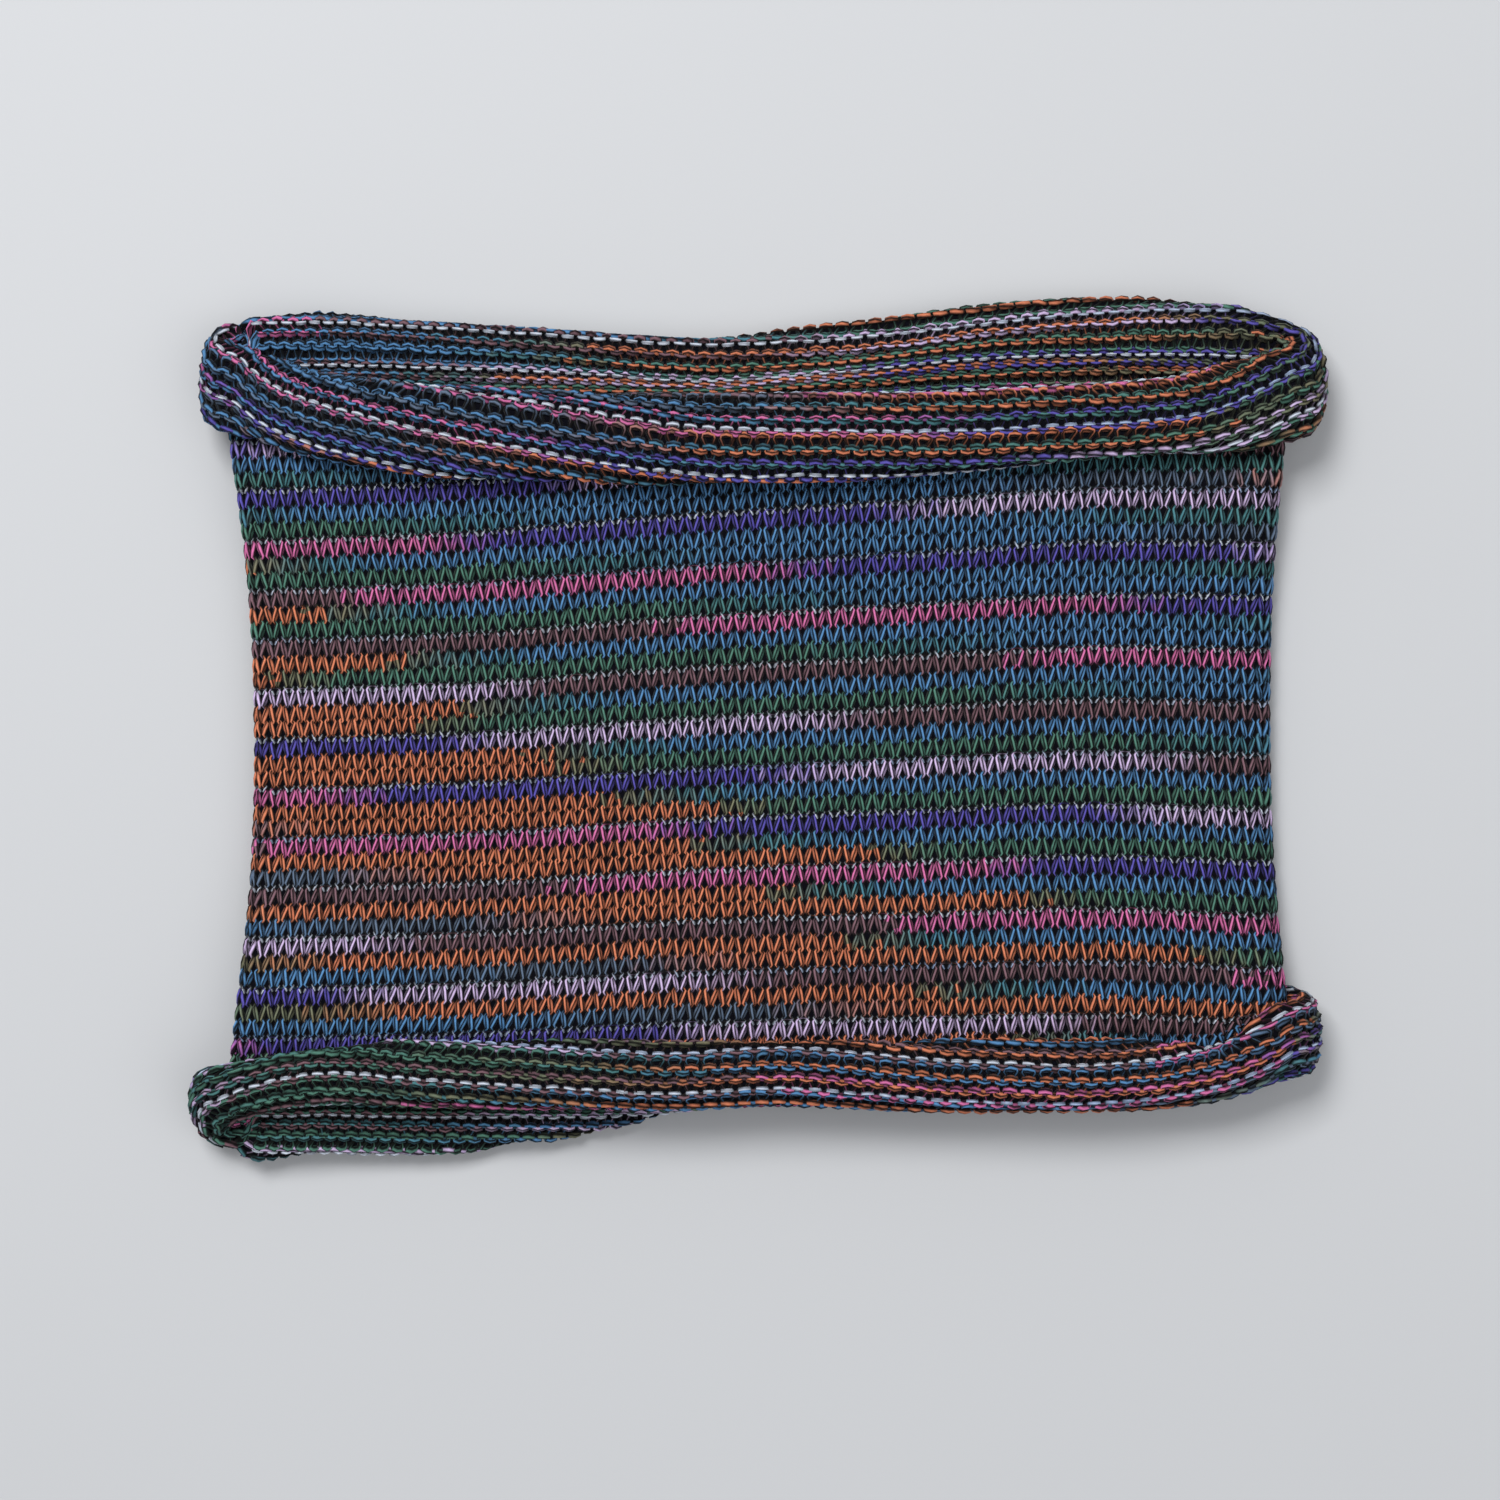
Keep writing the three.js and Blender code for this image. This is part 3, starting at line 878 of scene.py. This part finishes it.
class GaiterFinish(bpy.types.PropertyGroup):
    """Finish of the yarns and of the stage"""

    yarn_roughness: bpy.props.FloatProperty(
        name="Yarn roughness", description="Dullness of the yarn",
        default=0.75, min=0.0, max=1.0, subtype="FACTOR",
    )
    # painted shade laid over the half of each yarn that looks to the purl side
    purl_painted_shade: bpy.props.FloatProperty(
        name="Purl shade", description="How much darker the purl side is",
        default=0.2, min=0.0, max=1.0, subtype="FACTOR",
    )
    twist: bpy.props.FloatProperty(
        name="Twist", description="Turns of the plies in 10 mm of yarn", default=0.8
    )
    # painted shade: lightness of the dark sheet between the loops
    core_shade_tone: bpy.props.FloatProperty(
        name="Core tone", description="Lightness between the loops",
        default=0.004, min=0.0, max=1.0, subtype="FACTOR",
    )
    floor_tone: bpy.props.FloatVectorProperty(
        name="Floor", description="Colour of the floor", subtype="COLOR",
        default=(0.478, 0.486, 0.5), min=0.0, max=1.0,
    )


# ---------------------------------------------------------------- operators

FLOOR_REACH = 9.0  # metres from the middle of the floor to its edge
FLOOR_GAP = 0.0004  # how far the floor lies under the gaiter, in metres
LIGHTS = (  # name, place and width in metres, and power in watts
    ("key_light", (-0.45, 0.75, 1.5), 0.7, 26.0),
    ("fill_light", (0.9, -0.5, 1.6), 1.6, 8.0),
)
LENS = 85.0
SENSOR = 36.0
VIEW_WIDTH = 0.39  # metres across the view at the height of the gaiter's middle
VIEW_HEIGHT = 0.014
VIEW_MIDDLE = (-0.00195, -0.0052)

_made = {}  # what a step leaves for the later ones: the cloth and the yarn pieces


def knit_cloth(sizes):
    """The working surface, worked out once, by the first step that needs it."""
    if "cloth" not in _made:
        _made["cloth"] = Cloth(sizes)
    return _made["cloth"]


def add_light(scene, name, place, width, power):
    """A square light that looks at the origin."""
    data = bpy.data.lights.new(name, "AREA")
    data.size = width
    data.energy = power
    lamp = bpy.data.objects.new(name, data)
    scene.collection.objects.link(lamp)
    lamp.location = place
    x, y, z = place
    lamp.rotation_euler = (np.pi / 2 - np.arctan2(z, np.hypot(x, y)), 0.0, np.arctan2(-y, -x) - np.pi / 2)


def add_camera(scene):
    """A camera that looks straight down, as high as its lens needs for the view's width."""
    camera = bpy.data.cameras.new("camera")
    camera.lens = LENS
    camera.sensor_width = SENSOR
    eye = bpy.data.objects.new("camera", camera)
    scene.collection.objects.link(eye)
    eye.location = (*VIEW_MIDDLE, VIEW_WIDTH * LENS / SENSOR + VIEW_HEIGHT)
    scene.camera = eye


class GAITER_OT_stage(bpy.types.Operator):
    """Pale floor, soft light and a camera looking straight down"""

    bl_idname = "gaiter.stage"
    bl_label = "Stage"

    def execute(self, context):
        """A flat floor under the gaiter, two broad lights, an even sky and the camera."""
        scene = context.scene
        r = FLOOR_REACH
        points = np.array([(-r, -r, 0), (r, -r, 0), (r, r, 0), (-r, r, 0)])
        points[:, 2] = CAD_LOW.z - FLOOR_GAP
        floor = write_mesh("floor", points, np.array([[0, 1, 2, 3]]), {}, {})
        material = bpy.data.materials.new("Floor")
        material.use_nodes = True
        shader = material.node_tree.nodes["Principled BSDF"]
        shader.inputs["Base Color"].default_value = (*scene.gaiter_finish.floor_tone, 1)
        shader.inputs["Roughness"].default_value = 0.7
        floor.data.materials.append(material)
        for light in LIGHTS:
            add_light(scene, *light)
        world = bpy.data.worlds.new("Studio")
        world.use_nodes = True
        sky = world.node_tree.nodes["Background"]
        sky.inputs["Color"].default_value = (0.95, 0.97, 1.0, 1)
        sky.inputs["Strength"].default_value = 0.5
        scene.world = world
        add_camera(scene)
        scene.view_settings.view_transform = "Standard"
        return {"FINISHED"}


class GAITER_OT_yarns(bpy.types.Operator):
    """Knits the four yarns, each in the body and in the two curled edges"""

    bl_idname = "gaiter.yarns"
    bl_label = "Yarns"

    def execute(self, context):
        """One piece for each yarn in each part of the tube."""
        scene = context.scene
        cloth = knit_cloth(scene.gaiter_sizes)
        _made["yarns"] = []
        for name in YARNS:
            material = yarn_material(name, scene.gaiter_finish, scene.gaiter_colours)
            for part in ZONES:
                piece = yarn_piece(cloth, scene.gaiter_sizes, name, part)
                piece.data.materials.append(material)
                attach(piece, "root")
                _made["yarns"].append(piece)
        return {"FINISHED"}


class GAITER_OT_core(bpy.types.Operator):
    """Near-black middle sheet of the knitting, painted shade seen between the loops and partly a dark core
    strand, which stands for the whole cloth
    """

    bl_idname = "gaiter.core"
    bl_label = "Dark core and painted shade"

    def execute(self, context):
        """The middle surface itself, cut off where the knitting ends. It needs the yarns first."""
        cloth = knit_cloth(context.scene.gaiter_sizes)
        v = cloth.v[::2]
        points = cloth.place[:-1, ::2].reshape(-1, 3) * MM
        wales, courses = cloth.wales, len(v)
        i, j = np.meshgrid(np.arange(wales), np.arange(courses - 1), indexing="ij")
        i, j = i.ravel(), j.ravel()
        nxt = np.mod(i + 1, wales)
        corners = [i * courses + j, nxt * courses + j, nxt * courses + j + 1, i * courses + j + 1]
        faces = np.stack(corners, axis=1)
        faces = faces[(v[j] >= cloth.first[i]) & (v[j + 1] <= cloth.last[i])]
        kept, faces = np.unique(faces, return_inverse=True)
        # the dark sheet is painted shade between the loops, partly a dark core strand
        core = write_mesh("knit_core_painted_shade", points[kept], faces.reshape(-1, 4), {}, {})
        core.data.materials.append(shade_sheet_material(context.scene.gaiter_finish))
        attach(core, "root")
        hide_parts(*NODES)
        # slit open and laid flat: 138 wales of 4.04 mm by 104 courses of 2.98 mm
        return {"FINISHED"}


class GAITER_PT_panel(bpy.types.Panel):
    """Sidebar panel that lists the steps and the sizes"""

    bl_idname = "GAITER_PT_panel"
    bl_label = "Neck gaiter"
    bl_space_type = "VIEW_3D"
    bl_region_type = "UI"
    bl_category = "Gaiter"

    def draw(self, context):
        """One button a step, then the settings, group by group."""
        for step in STEPS:
            self.layout.operator(step.bl_idname)
        for label, group in SETTINGS.items():
            for name in group.__annotations__:
                self.layout.prop(getattr(context.scene, label), name)


STEPS = (GAITER_OT_stage, GAITER_OT_yarns, GAITER_OT_core)
SETTINGS = {"gaiter_sizes": GaiterSizes, "gaiter_colours": GaiterColours, "gaiter_finish": GaiterFinish}
CLASSES = (*SETTINGS.values(), *STEPS, GAITER_PT_panel)


def register():
    """Registers the classes and hangs the groups of settings on the scene."""
    for item in CLASSES:
        bpy.utils.register_class(item)
    for label, group in SETTINGS.items():
        setattr(bpy.types.Scene, label, bpy.props.PointerProperty(type=group))


def unregister():
    """Takes the settings off the scene and the classes out again."""
    for label in SETTINGS:
        delattr(bpy.types.Scene, label)
    for item in reversed(CLASSES):
        bpy.utils.unregister_class(item)


def main():
    """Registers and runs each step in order."""
    register()
    bpy.ops.gaiter.stage()
    bpy.ops.gaiter.yarns()
    bpy.ops.gaiter.core()


if __name__ == "__main__":
    main()
